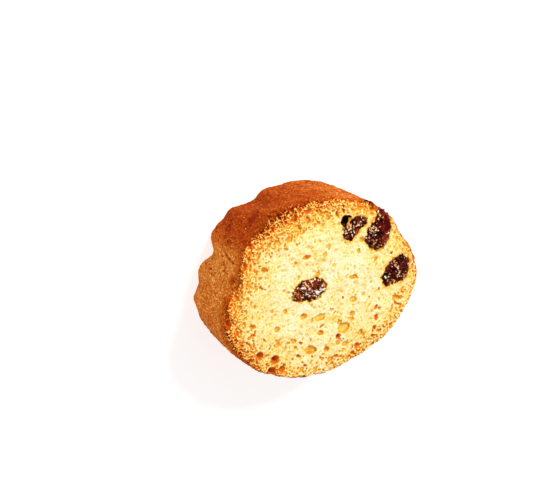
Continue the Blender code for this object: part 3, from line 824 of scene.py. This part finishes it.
breadLook = {
    # the crumb's colours from pale to burnt
    "toasting": (
        (0.00, (0.97, 0.92, 0.78)), (0.15, (0.95, 0.84, 0.50)), (0.30, (0.94, 0.74, 0.26)),
        (0.45, (0.91, 0.58, 0.105)), (0.60, (0.86, 0.37, 0.035)), (0.75, (0.74, 0.160, 0.010)),
        (0.88, (0.50, 0.050, 0.003)), (1.00, (0.20, 0.014, 0.002))),
    "burntPits": (
        (0.0, (0.66, 0.160, 0.010)), (0.15, (0.66, 0.130, 0.007)), (0.5, (0.70, 0.110, 0.005)),
        (1.0, (0.72, 0.095, 0.004))),
    # the crust's colours from dark to light
    "browning": (
        (0.00, (0.16, 0.012, 0.001)), (0.25, (0.28, 0.026, 0.002)), (0.45, (0.40, 0.058, 0.004)),
        (0.65, (0.54, 0.135, 0.013)), (0.80, (0.70, 0.24, 0.034)), (1.00, (0.88, 0.48, 0.15))),
    "black": (0.012, 0.008, 0.006),
    "masks": (
        "hollow", "burnt", "band", "crust", "tan", "marks", "rimward", "pale", "yellow", "golden",
        "sink", "raised", "steep", "fringe", "stain", "black"),
    "mottle": {
        "clouds": dict(Size=9.0, Detail=2.0, Low=0.36, High=0.64),
        "patches": dict(Size=2.6, Detail=2.0, Low=0.40, High=0.66, Shift=2.0),
        "fine": dict(Size=0.8, Detail=3.0, Low=0.54, High=0.65),
        "grain": dict(Size=0.45, Detail=2.0, Low=0.40, High=0.62),
        "crumbly": dict(Size=1.0, Detail=3.0, Low=0.42, High=0.62, Shift=7.0),
        "browned": dict(Size=7.0, Detail=3.0, Low=0.36, High=0.64),
        "blotches": dict(Size=1.8, Detail=3.0, Low=0.38, High=0.66, Shift=3.0, Upright=0.6),
        "streaks": dict(Size=0.55, Detail=3.0, Low=0.47, High=0.70, Upright=0.8),
        "darkStreaks": dict(Size=0.7, Detail=4.0, Low=0.50, High=0.70, Shift=5.0, Upright=0.8),
    },
    "specks": {
        "tiny": dict(Size=1.3, Radius=0.30, Share=0.5, Wobble=0.9),
        "dark": dict(Size=1.25, Radius=0.34, Share=0.55, Wobble=1.2),
        "glints": dict(Size=1.0, Radius=0.17, Share=0.5, Wobble=0.4, Upright=0.9),
        "pinholes": dict(Size=1.6, Radius=0.17, Share=0.6, Wobble=0.4, Upright=0.6),
    },
    # which mask each product multiplies, and what each mark adds to a tone
    "products": {"stained": "stain", "toasted": "band", "deep": "pit", "low": "sink", "high": "raised"},
    "stained": dict(base=0.4, fine=0.8),
    "toasted": dict(base=0.06, crumbly=0.14, dark=0.38),
    # painted shade: deep darkens the pores and low the low places; high is a painted highlight on the
    # raised places
    "deep": dict(base=0.60, band=0.42),
    "low": dict(base=0.38, band=0.46),
    "high": dict(base=0.06, band=0.22),
    # painted shade: the tiny pits and the grain's low places are darker, as are shaded, steep and fringe;
    # high is a painted highlight
    "crumb": dict(
        base=0.150, clouds=0.07, patches=0.07, rimward=0.27, pale=-0.10, yellow=0.20, fine=0.18,
        tiny=0.24, grain=-0.13, stained=0.35, toasted=1.0, high=-1.0, shaded=1.0, fringe=0.26,
        steep=0.32),
    "darkest": dict(base=0.62, band=0.36),
    # the golden pores' floors, with painted shade on their steep walls
    "goldenFloor": dict(base=0.42, fine=0.10, steep=0.42),
    # the crumb darkens toward the crust: scorched there, and partly painted shade on the shaded sides of
    # its crags
    "overall": dict(plain=1.0, gilded=0.85, crust=0.46),
    "tanned": dict(tan=1.0, tanEdge=2.0),
    "brown": dict(
        base=0.365, tanned=0.365, browned=0.09, blotches=-0.10, streaks=0.32, darkStreaks=-0.36,
        glints=0.42, pinholes=-0.32, marks=-0.50),
    "pitPower": 0.55,               # painted shade: the lower, the darker the shallow pores
    "blackening": 2.5,
    "crumbHeight": dict(grain=1.0, tiny=-0.8),
    "crustHeight": dict(streaks=0.7, pinholes=-0.8, glints=0.5),
    "bump": (0.35, 0.00014),
    "roughness": (0.95, 0.60),      # the crumb's and the crust's
    "finish": {
        "Specular IOR Level": 0.01, "Subsurface Weight": 0.25, "Subsurface Scale": 0.0008,
        "Subsurface Radius": (1.0, 0.6, 0.35),
    },
}


def breadMaterial(groups):
    material, tree, shader = newMaterial("twiceBakedBread")
    look = breadLook
    marks = gatherMarks(tree, look, groups)

    def times(first, second, clamp=False):
        return calculate(tree, "MULTIPLY", first, second, clamp)

    def less(first, second, clamp=False):
        return calculate(tree, "SUBTRACT", first, second, clamp)

    def tone(name):
        return toneOf(tree, marks, look[name])

    marks["pit"] = calculate(tree, "POWER", marks["hollow"], look["pitPower"])
    addProducts(tree, marks, look)
    marks["shaded"] = calculate(tree, "MAXIMUM", marks["deep"], marks["low"])
    marks["plain"] = calculate(tree, "MINIMUM", tone("crumb"), tone("darkest"))
    marks["gilded"] = times(marks["golden"], less(tone("goldenFloor"), marks["plain"]))
    crumb = colourRamp(tree, tone("overall"), look["toasting"])
    pits = colourRamp(tree, marks["hollow"], look["burntPits"])
    crumb = mixColours(tree, times(marks["burnt"], 1.0, clamp=True), crumb, pits)
    # painted shade: pores darker than 1 are painted black, as deep holes in shadow
    veryDark = times(less(marks["burnt"], 1.0, clamp=True), look["blackening"], clamp=True)
    crumb = mixColours(tree, veryDark, crumb, look["black"])

    edge = times(marks["tan"], less(1.0, marks["tan"]))
    marks["tanEdge"] = times(edge, less(marks["blotches"], 0.5))
    marks["tanned"] = tone("tanned")
    crust = colourRamp(tree, tone("brown"), look["browning"])
    colour = mixColours(tree, marks["crust"], crumb, crust)
    colour = mixColours(tree, marks["black"], colour, look["black"])
    height = mixColours(tree, marks["crust"], tone("crumbHeight"), tone("crustHeight"))
    finishMaterial(tree, shader, look, colour, height, marks["crust"])
    return material


raisins = {
    "spacing": 0.12,
    "smoothing": 2,
    "triangles": 30000,
    "grow": 0.36,                   # out toward the walls of the sockets
    "offFloor": 0.05,
    "bend": (0.5, 2.0),             # how far and how finely the folds wander
    # depth, period, octaves, narrowness, and how fast they end sideways
    "folds": (0.36, 1.7, 1, 2.4, 1.4),
    "wrinkles": (0.20, 0.62, 2, 2.0, 1.2),
    "fineShare": 0.5,               # painted shade: how dark the wrinkles are beside the folds
    "ridges": (0.25, 0.6, 0.6),     # the ridges, where a painted highlight lies: from and to what height, and what the folds take off it
    "keptFlat": 0.9,                # how much of both the smooth places are spared
    "raggedPeriod": 0.55,
    "fleckHeight": 0.12,
    "looseFlecks": 5,               # more on each raisin, thrown by chance
    "fleckSize": (0.10, 0.22),
    "onTop": (0.0, 0.5),            # how level the skin is where the spots lie
    "middleBrown": 0.40,            # the middle raisin's skin is browner
    "rimBrown": (0.9, 0.60),        # browner and lighter toward its edge, partly the skin's colour and partly painted light on the shaded sides: in the middle raisin, in the others
    "rimTurn": (0.75, 0.2),         # how level the skin is where that edge ends, and is whole
    "smoothBrown": 0.45,            # how much less brown the smooth places are
    # the edges of the spots: how uneven, and at what share of their size gone and whole
    "ovalEdges": {
        "crumb": (0.8, 0.95, 0.65), "sugar": (0.7, 1.0, 0.85), "amber": (0.8, 1.1, 0.8),
        "warm": (0.6, 1.4, 0.6), "dusty": (0.6, 1.3, 0.6), "smooth": (0.4, 1.2, 0.7),
        "fleck": (0.5, 1.2, 0.7),
    },
    # the skin's colours from its furrows, dark with painted shade, to thin places that the light shines
    # through
    "skinColours": (
        (0.00, (0.006, 0.0004, 0.0003)), (0.25, (0.036, 0.0010, 0.0008)), (0.45, (0.10, 0.0034, 0.0022)),
        (0.62, (0.22, 0.018, 0.007)), (0.78, (0.48, 0.095, 0.014)), (1.00, (0.76, 0.32, 0.06))),
    "masks": ("furrow", "ridge", "warm", "smooth", "dusty", "amber", "crumb", "sugar"),
    "mottle": {
        "clouds": dict(Size=2.2, Detail=2.0, Low=0.40, High=0.64),
        "patches": dict(Size=1.0, Detail=2.0, Low=0.50, High=0.68, Shift=3.0),
        "lines": dict(Size=0.5, Detail=1.0, Low=0.50, High=0.62, Shift=8.0),
        "grain": dict(Size=0.4, Detail=3.0, Low=0.3, High=0.7),
    },
    # which mask each product multiplies, and what each mark adds to a tone
    "products": {"strokes": "lines", "powderAndRidgeHighlight": "strokes", "brown": "warm"},
    # strokes follow the ridges as a painted highlight; powder, dust and brown carry it, with real dust
    # where the skin is dusty
    "strokes": dict(base=0.4, smooth=-0.4, ridge=1.0),
    "powderAndRidgeHighlight": dict(base=0.22, dusty=0.65),
    "brown": dict(base=0.10, strokes=0.55),
    "dust": dict(powderAndRidgeHighlight=1.0, dusty=0.08),
    # painted shade: the furrows darken the skin's tone
    "skin": dict(base=0.27, clouds=0.20, patches=0.16, warm=0.36, smooth=0.06, furrow=-0.46),
    # what lies over the skin, from the lowest to the highest: dust with the ridges' painted highlight,
    # browning, amber, crumbs, and sugar with painted highlights
    "layers": (
        ("dust", (0.28, 0.060, 0.030)), ("brown", (0.50, 0.125, 0.020)), ("amber", (0.72, 0.27, 0.060)),
        ("crumb", (0.88, 0.51, 0.22)), ("sugar", (0.94, 0.85, 0.70))),
    "roughness": (0.22, 0.75),      # the skin's and the crumbs'
    "bump": (0.5, 0.00015),
    "finish": {"Specular IOR Level": 0.04},
}

# what lies or shines on the raisins that the photo shows: x, y, size along x and along y
raisinSpots = {
    "crumb": (
        (15.1, 17.3, 0.67, 0.4), (16.3, 17.3, 0.54, 0.47), (16.3, 16.8, 0.47, 0.4),
        (15.0, 16.5, 0.67, 0.4), (15.0, 15.8, 0.25, 0.47), (16.7, 15.1, 0.54, 0.25),
        (15.5, 15.0, 0.27, 0.27), (16.0, 13.6, 0.34, 0.4), (16.7, 12.9, 0.54, 0.4),
        (16.9, 13.5, 0.4, 0.34), (17.8, 11.3, 0.6, 0.27), (18.5, 11.3, 0.34, 0.25),
        (18.2, 10.7, 0.4, 0.25), (17.4, 21.0, 0.27, 0.27), (17.1, 20.1, 0.4, 0.27),
        (24.1, 6.5, 0.84, 0.42), (25.0, 6.0, 0.42, 0.25), (22.6, 5.8, 0.42, 0.5),
        (26.1, 3.0, 0.59, 0.5), (27.4, 2.4, 0.59, 0.25), (25.5, 1.8, 0.42, 1.01),
        (26.1, 1.9, 0.34, 0.67), (26.5, 1.6, 0.34, 0.59), (22.8, 2.7, 0.42, 0.59),
        (29.1, 3.8, 0.42, 0.5), (10.0, 19.2, 0.5, 0.5), (10.2, 18.7, 0.6, 0.5), (10.7, 18.5, 0.5, 0.4),
        (9.0, 17.9, 0.6, 0.6), (7.9, 18.2, 0.7, 0.8), (7.9, 17.5, 0.9, 0.6), (6.3, 17.1, 0.5, 0.6),
        (6.8, 17.9, 0.6, 0.8), (7.2, 17.2, 0.6, 0.5), (11.6, 19.9, 0.6, 0.3), (9.0, 19.4, 0.4, 0.5),
        (-7.3, 0.8, 0.43, 0.69), (-5.9, 1.1, 0.34, 0.43), (-7.1, 0.3, 0.77, 0.34),
        (-5.7, 3.1, 0.6, 0.34), (-5.5, 2.0, 0.6, 0.69), (-6.3, 2.3, 0.34, 0.34),
        (-3.7, 2.6, 0.69, 0.69), (-3.2, 2.9, 0.6, 0.34), (-0.6, 2.5, 0.34, 0.52),
        (-3.3, 1.7, 0.43, 0.26), (-2.9, -2.9, 0.77, 0.6), (-6.5, -2.7, 0.43, 0.52),
        (-8.5, -2.1, 0.77, 0.43), (-8.5, -0.8, 1.03, 0.26), (-3.1, -1.6, 0.6, 0.43),
        (-8.3, -0.3, 0.43, 0.34),
    ),
    # sugar, and painted highlights: the white and grey-blue spots
    "sugar": (
        (17.2, 22.1, 0.38, 0.38), (17.1, 21.5, 0.25, 0.27), (16.1, 16.0, 0.6, 0.38),
        (13.9, 14.3, 0.48, 0.6), (14.5, 14.9, 0.27, 0.33), (21.0, 15.6, 0.25, 0.33),
        (25.1, 4.6, 0.71, 0.27), (25.4, 4.2, 0.33, 0.25), (22.6, 1.9, 0.27, 0.33),
        (21.8, 1.6, 0.43, 0.54), (27.8, 7.2, 0.25, 0.25), (11.3, 20.5, 0.26, 0.33),
        (6.8, 16.3, 0.4, 0.33), (9.3, 16.3, 0.26, 0.53), (10.7, 21.0, 0.26, 0.26),
        (7.6, 16.4, 0.25, 0.25), (-6.4, 1.0, 0.71, 0.51), (-2.4, 3.3, 0.4, 0.61),
        (-1.3, 2.7, 0.4, 0.61), (0.6, -0.0, 1.82, 0.81), (-0.3, 0.2, 0.61, 0.61),
        (-1.1, -1.1, 0.91, 1.01), (-1.7, -0.6, 1.11, 0.71), (-2.9, -0.3, 0.91, 0.4),
        (-4.2, 0.4, 0.71, 0.51), (-4.5, -1.2, 1.21, 0.51), (-3.8, -1.7, 1.21, 0.51),
        (-2.1, -1.8, 0.51, 0.61), (-1.3, -2.2, 0.71, 0.51), (-3.9, -0.7, 0.4, 0.3),
        (-5.9, -2.0, 0.4, 0.51),
    ),
    "amber": (
        (18.1, 20.3, 0.4, 0.4), (23.0, 6.4, 1.3, 0.4), (24.5, 5.4, 0.8, 0.7), (28.3, 2.0, 0.7, 0.6),
        (22.5, 0.6, 0.5, 0.7), (23.6, -0.1, 0.5, 0.6), (23.2, -0.5, 0.9, 0.3), (24.2, 0.9, 1.0, 0.4),
        (24.9, 0.5, 0.5, 0.6), (25.7, -0.1, 0.5, 0.6), (24.8, -0.2, 0.4, 0.6), (-4.5, 3.3, 0.54, 0.68),
        (0.9, 1.3, 1.49, 0.54), (0.5, 0.9, 1.22, 0.41), (-9.3, -1.8, 0.81, 1.35),
        (-0.3, -2.1, 1.08, 0.94), (-0.8, -2.7, 0.81, 0.81), (16.7, 10.3, 1.6, 0.6),
        (5.6, 17.7, 0.8, 0.7),
    ),
    "warm": (
        (20.3, 15.2, 1.4, 1.6), (19.9, 13.3, 2.4, 2.8), (20.0, 11.8, 1.9, 1.2), (16.0, 12.0, 0.8, 0.7),
        (27.6, 0.5, 1.0, 0.4), (7.0, 15.3, 1.4, 0.8), (10.0, 16.2, 0.6, 1.4), (10.3, 17.2, 0.6, 0.8),
        (-6.4, 2.9, 1.0, 0.75), (-4.8, 1.2, 1.12, 1.38), (0.5, 1.9, 1.5, 1.0), (-7.8, -0.8, 1.88, 0.88),
        (-6.8, -1.2, 1.5, 1.12), (-7.0, -1.9, 1.88, 1.12), (-7.3, -2.3, 1.5, 0.62),
        (-8.5, -1.3, 1.88, 0.62),
    ),
    "dusty": (
        (15.1, 14.0, 0.4, 1.2), (18.0, 13.0, 0.5, 0.6), (16.5, 11.9, 2.4, 1.5), (18.7, 16.2, 0.5, 0.3),
        (13.8, 13.3, 1.0, 0.8), (22.0, 4.6, 0.4, 1.2), (27.1, 4.0, 1.0, 0.4), (24.7, 2.8, 0.4, 1.1),
        (27.6, 5.4, 2.8, 2.8), (23.4, 5.6, 1.8, 1.6), (26.8, 0.8, 2.1, 1.3), (9.8, 20.2, 0.7, 0.5),
        (8.9, 18.3, 0.8, 0.5), (8.5, 15.5, 0.6, 0.5), (8.8, 14.9, 0.4, 0.6), (13.1, 19.1, 1.2, 0.8),
        (12.3, 20.0, 1.0, 1.1), (10.7, 19.6, 2.0, 1.5), (-8.2, 0.6, 1.0, 0.7), (-2.1, 2.0, 1.9, 1.1),
        (-1.5, 0.8, 1.5, 0.4), (-4.5, -2.7, 0.9, 0.5), (-4.5, -0.1, 1.3, 0.8),
    ),
    "smooth": (
        (19.3, 17.6, 3.8, 4.9), (18.6, 21.6, 1.9, 2.7), (19.9, 13.6, 2.7, 3.4), (-2.1, 2.0, 2.0, 1.2),
        (-8.3, 0.7, 1.5, 1.5),
    ),
}


def furrowsOf(points, kind, seed):
    # deep lines between the folds, with the height they are cut out of
    _, period, octaves, narrowness, fall = raisins[kind]
    height = waves(points, period, seed, octaves)
    return height, (1.0 - np.minimum(1.0, np.abs(height) * narrowness)) ** fall


def makeRaisin(name, seed):
    piece = copyOfSolid(name, name.replace("_", ""))
    evenMesh(piece, raisins["spacing"], raisins["smoothing"])
    mesh = piece.data
    points, normals = readPoints(mesh), readNormals(mesh)
    where = points[:, :2] - np.array(bread["middle"])
    ragged = waves(points, raisins["raggedPeriod"], seed + 60, 2)
    onTop = ramp(normals[:, 2], *raisins["onTop"])
    edges = raisins["ovalEdges"]
    masks = {kind: spots(places, where, ragged, *edges[kind]) * onTop
             for kind, places in raisinSpots.items()}
    rng = random.Random(seed)
    uneven, gone, whole = edges["fleck"]
    for _ in range(raisins["looseFlecks"]):
        at = points[rng.randrange(len(points))]
        size = rng.uniform(*raisins["fleckSize"])
        near = np.linalg.norm(points - at, axis=1) / size * (1.0 + uneven * ragged)
        masks["crumb"] = np.maximum(masks["crumb"], fade(near, gone, whole) * (1.0 - masks["smooth"]))

    inMiddle = name == "raisin_1"
    # the skin's steep sides are browner and lighter: partly its own colour, partly painted light that
    # lifts their shade
    browned = raisins["rimBrown"][0 if inMiddle else 1] * fade(normals[:, 2], *raisins["rimTurn"])
    masks["warm"] *= 1.0 - raisins["smoothBrown"] * masks["smooth"]
    masks["warm"] = np.maximum(masks["warm"], browned)
    if inMiddle:
        masks["warm"] = np.maximum(masks["warm"], raisins["middleBrown"])
    wrinkled = 1.0 - raisins["keptFlat"] * masks["smooth"]
    bend, period = raisins["bend"]
    bent = points + bend * np.stack([waves(points, period, seed + shift) for shift in (80, 81, 82)], 1)
    _, furrow = furrowsOf(bent, "folds", seed + 20)
    finer, fineFurrow = furrowsOf(bent, "wrinkles", seed + 40)
    furrow, fineFurrow = furrow * wrinkled, fineFurrow * wrinkled
    lift = raisins["grow"] - raisins["folds"][0] * furrow - raisins["wrinkles"][0] * fineFurrow
    lift += raisins["fleckHeight"] * np.maximum(masks["crumb"], masks["amber"])
    low, high, taken = raisins["ridges"]
    # painted highlight: the ridges are painted lighter
    masks["ridge"] = ramp(np.abs(finer) - taken * furrow, low, high) * wrinkled
    # painted shade: the furrows and wrinkles are painted darker
    masks["furrow"] = np.clip(furrow + raisins["fineShare"] * fineFurrow, 0.0, 1.0)
    moved = points + normals * lift[:, None]
    moved[:, 2] = np.maximum(moved[:, 2], raisins["offFloor"])
    writePoints(mesh, moved)
    writeMasks(mesh, masks)
    thinTo(piece, raisins["triangles"])
    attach(piece, "root")
    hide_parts(name)
    return piece


def raisinMaterial(groups):
    material, tree, shader = newMaterial("driedRaisin")
    marks = gatherMarks(tree, raisins, groups)
    addProducts(tree, marks, raisins)
    marks["dust"] = toneOf(tree, marks, raisins["dust"])
    colour = colourRamp(tree, toneOf(tree, marks, raisins["skin"]), raisins["skinColours"])
    for name, layer in raisins["layers"]:
        colour = mixColours(tree, marks[name], colour, layer)
    strewn = calculate(tree, "MAXIMUM", marks["crumb"], marks["sugar"])
    finishMaterial(tree, shader, raisins, colour, marks["grain"], strewn)
    return material


crumbs = {
    "seed": 5,
    "kinds": (
        # how many, where, least and largest size
        (60, "band", 0.20, 0.40), (60, "face", 0.20, 0.40), (40, "crust", 0.16, 0.28),
    ),
    "depth": (2.0, 0.6),            # how far down they lie: in the band, on the face
    "insideRim": (1.0, 3.0),        # where those on the face begin, and are the most
    "aboveFloor": (1.0, 4.0),       # the same for those on the crust
    "stretch": (0.7, 1.3),
    "sunk": 0.15,                   # share of the size
    "uneven": 0.7,
    "masks": (),
    "mottle": {
        "clouds": dict(Size=1.5, Detail=1.0, Low=0.42, High=0.58),
        "browned": dict(Size=4.0, Detail=1.0, Low=0.40, High=0.60, Shift=2.0),
        "grain": dict(Size=0.2, Detail=2.0, Low=0.3, High=0.7),
    },
    "tone": dict(base=0.26, clouds=0.18, browned=0.25),
    "bump": (0.5, 0.0001),
    "finish": {"Roughness": 0.9, "Specular IOR Level": 0.15},
}


def makeCrumbs(breadPiece):
    # loose crumbs that stuck, all in one mesh
    mesh = breadPiece.data
    points, normals = readPoints(mesh), readNormals(mesh)
    zones = mapBread(points, normals)
    bandDepth, faceDepth = crumbs["depth"]
    inside = ramp(zones["inset"], *crumbs["insideRim"])
    weights = {
        "band": zones["band"] * zones["cut"] * (zones["below"] < bandDepth),
        "face": zones["cut"] * inside * (zones["below"] < faceDepth),
        "crust": (zones["crust"] > 0.9) * ramp(zones["above"], *crumbs["aboveFloor"]),
    }
    rng = random.Random(crumbs["seed"])
    shape = bmesh.new()
    for count, zone, least, largest in crumbs["kinds"]:
        places = rng.choices(range(len(points)), weights=weights[zone].tolist(), k=count)
        for index in places:
            size = rng.uniform(least, largest) * mm
            at = Vector(points[index]) * mm + Vector(normals[index]) * size * crumbs["sunk"]
            stretch = Matrix.Diagonal([rng.uniform(*crumbs["stretch"]) for _ in range(3)] + [1.0])
            turn = Matrix.Rotation(rng.uniform(0.0, math.tau), 4, Vector(normals[index]))
            made = bmesh.ops.create_icosphere(
                shape, subdivisions=2, radius=size / 2, matrix=Matrix.Translation(at) @ turn @ stretch)
            for vert in made["verts"]:
                lump = noise.noise(vert.co / size * 2.0 + Vector((index % 97, 0, 0)))
                vert.co = at + (vert.co - at) * (1.0 + crumbs["uneven"] * lump)
    piece = objectFrom(shape, "looseCrumbs")
    piece.data.shade_smooth()
    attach(piece, "root")
    return piece


def crumbMaterial(groups):
    material, tree, shader = newMaterial("looseCrumb")
    marks = gatherMarks(tree, crumbs, groups)
    colour = colourRamp(tree, toneOf(tree, marks, crumbs["tone"]), breadLook["toasting"])
    finishMaterial(tree, shader, crumbs, colour, marks["grain"])
    return material


def dress(piece, material):
    piece.data.materials.clear()
    piece.data.materials.append(material)


makeCamera()
makeLights()
makeFloor()
groups = {"mottle": mottleGroup(), "specks": specksGroup()}
print("camera, lights and floor ready")

fruitSkin = raisinMaterial(groups)
fruits = [makeRaisin("raisin_%d" % number, number) for number in range(1, 8)]
for fruit in fruits:
    dress(fruit, fruitSkin)
print("raisins shaped")

loaf = makeBread(fruits)
dress(loaf, breadMaterial(groups))
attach(loaf, "root")
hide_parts("rusk")

dress(makeCrumbs(loaf), crumbMaterial(groups))
print("crumbs scattered")
